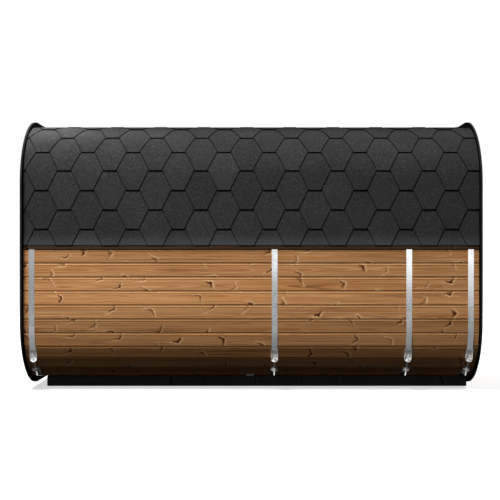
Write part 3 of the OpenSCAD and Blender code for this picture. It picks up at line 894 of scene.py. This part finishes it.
# Ridge: plain caps cut from the same shingle, lapped along the middle of the top.
CAP_WIDTH, CAP_LENGTH, CAP_EXPOSURE, CAP_LIFT, CAPS = 0.250, 0.316, 0.170, 0.0055, 24
FIRST_OVERHANG, BEDDED = 0.05, 0.0005
cap = timber("cap", (0, -CAP_WIDTH / 2, 0), (CAP_LENGTH, CAP_WIDTH / 2, TAB_THICKNESS))
ease(cap, 0.0009, 2)
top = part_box("roofing_top")[1].z
for index in range(CAPS):
    start = -half_length + index * CAP_EXPOSURE - FIRST_OVERHANG
    piece = copied(cap, "cap")
    for vertex in piece.data.vertices:
        vertex.co.z += CAP_LIFT * (1 - vertex.co.x / CAP_LENGTH)
    piece.data.transform(Matrix.Rotation(math.pi, 4, "Z"))
    piece.data.transform(Matrix.Translation((start + CAP_LENGTH, 0, top - BEDDED)))
    cuts = []
    if start < -half_length:
        cuts.append(((-half_length, 0, 0), (-1, 0, 0)))
    if start + CAP_LENGTH > half_length:
        cuts.append(((half_length, 0, 0), (1, 0, 0)))
    if cuts:
        trimmed(piece, cuts)
    if not piece.data.vertices:
        bpy.data.objects.remove(piece)
        continue
    toned(piece)
    roofs["roofing_top"].append(piece)
bpy.data.objects.remove(cap)
for node, tabs in roofs.items():
    roof = joined(node + "_shingles", tabs)
    recalculated(roof)
    work_on(roof)
    bpy.ops.object.shade_smooth_by_angle(angle=math.radians(12))
    placed(roof, shingle, "shingle", node)

# Studio: a pale floor, a white surround, one broad soft lamp from the upper left in
# front, two weaker ones for the sides turned away from it, a small one over one end of
# the roof, and a white card for the steel.
def seen_as_white(finish):
    """1 for what the camera, gloss and glass see, and 0 for light that falls on things."""
    rays = put(finish, "LightPath")
    seen = calc(finish, "ADD", rays.outputs["Is Camera Ray"], rays.outputs["Is Glossy Ray"],
                clamp=True)
    return calc(finish, "ADD", seen, rays.outputs["Is Transmission Ray"], clamp=True)


bpy.ops.object.select_all(action="DESELECT")
bpy.ops.mesh.primitive_plane_add(size=90, location=(0, 0, 0))
ground = bpy.context.object
ground.name = "studio_floor"
# the floor glows for the camera only, fully so far from the object, and keeps its shadow
pale = new_finish("studio floor")
place = put(pale, "TexCoord").outputs["Object"]
speckle = mixed(pale, noise(pale, place, 30, 2, 0.5), (0.42, 0.42, 0.42, 1), (0.44, 0.44, 0.44, 1))
lit = put(pale, "BsdfDiffuse", {"Color": speckle})
reach = put(pale, "VectorMath", {0: place}, operation="LENGTH").outputs["Value"]
in_view = put(pale, "LightPath").outputs["Is Camera Ray"]
far_glow = calc(pale, "MULTIPLY", in_view, spread(pale, reach, 3.5, 9.0, 0.62, 1.0))
glow = put(pale, "Emission", {"Color": (1, 1, 1, 1), "Strength": far_glow})
shown = put(pale, "AddShader", {0: lit.outputs[0], 1: glow.outputs[0]})
unlit = put(pale, "BsdfDiffuse", {"Color": (0.02, 0.02, 0.02, 1)})
floor_look = put(pale, "MixShader", {0: seen_as_white(pale), 1: unlit.outputs[0],
                                     2: shown.outputs[0]})
put(pale, "OutputMaterial", {"Surface": floor_look.outputs[0]})
ground.data.materials.append(pale)

world = bpy.data.worlds.new("studio")
bpy.context.scene.world = world
world.use_nodes = True
world.node_tree.nodes.clear()
level = calc(world, "MULTIPLY_ADD", seen_as_white(world), 0.80, 0.20)
backdrop = put(world, "Background", {"Color": (1, 1, 1, 1), "Strength": level})
put(world, "OutputWorld", {"Surface": backdrop.outputs[0]})


def lamp(name, target, azimuth, elevation, distance, width, height, power):
    """A soft lamp, aimed at a place: 0 is in front of it, and left is negative."""
    data = bpy.data.lights.new(name, "AREA")
    data.shape, data.size, data.size_y, data.energy = "RECTANGLE", width, height, power
    piece = bpy.data.objects.new(name, data)
    bpy.context.scene.collection.objects.link(piece)
    turn, rise = math.radians(azimuth), math.radians(elevation)
    away = Vector((math.sin(turn) * math.cos(rise), -math.cos(turn) * math.cos(rise),
                   math.sin(rise)))
    piece.location = Vector(target) + away * distance
    piece.rotation_euler = away.to_track_quat("Z", "Y").to_euler()
    return piece


lamp("key", (0, -1.14, 0.9), -33, 55, 9.5, 2.4, 2.4, 1450)
lamp("fill right", (2, 0, 1.2), 112, 40, 8.0, 3.0, 3.0, 700)
lamp("fill back", (0, 1.14, 1.0), 190, 45, 8.0, 3.0, 3.0, 900)
# close over the rear end of the roof, clear of the end wall
corner_lamp = lamp("corner", (-1.93, -0.60, 2.4), 0, 90, 0.62, 0.5, 0.5, 52)
corner_lamp.visible_camera = corner_lamp.visible_glossy = False
# to the right of the camera, and seen in gloss only
card = lamp("card", (3.2, -1.14, 1.86), 0, 0, 8.96, 6.4, 2.6, 94)
card.rotation_euler.y += math.radians(5)
card.visible_diffuse = False

camera = bpy.data.cameras.new("camera")
camera.lens, camera.sensor_width = 64, 36
camera.shift_x, camera.shift_y = -0.0025, 0.00386
eye = bpy.data.objects.new("camera", camera)
bpy.context.scene.collection.objects.link(eye)
eye.location = (0, -8.875, centre_z)
eye.rotation_euler = (math.radians(90), 0, 0)
bpy.context.scene.camera = eye
bpy.context.scene.view_settings.view_transform = "Standard"
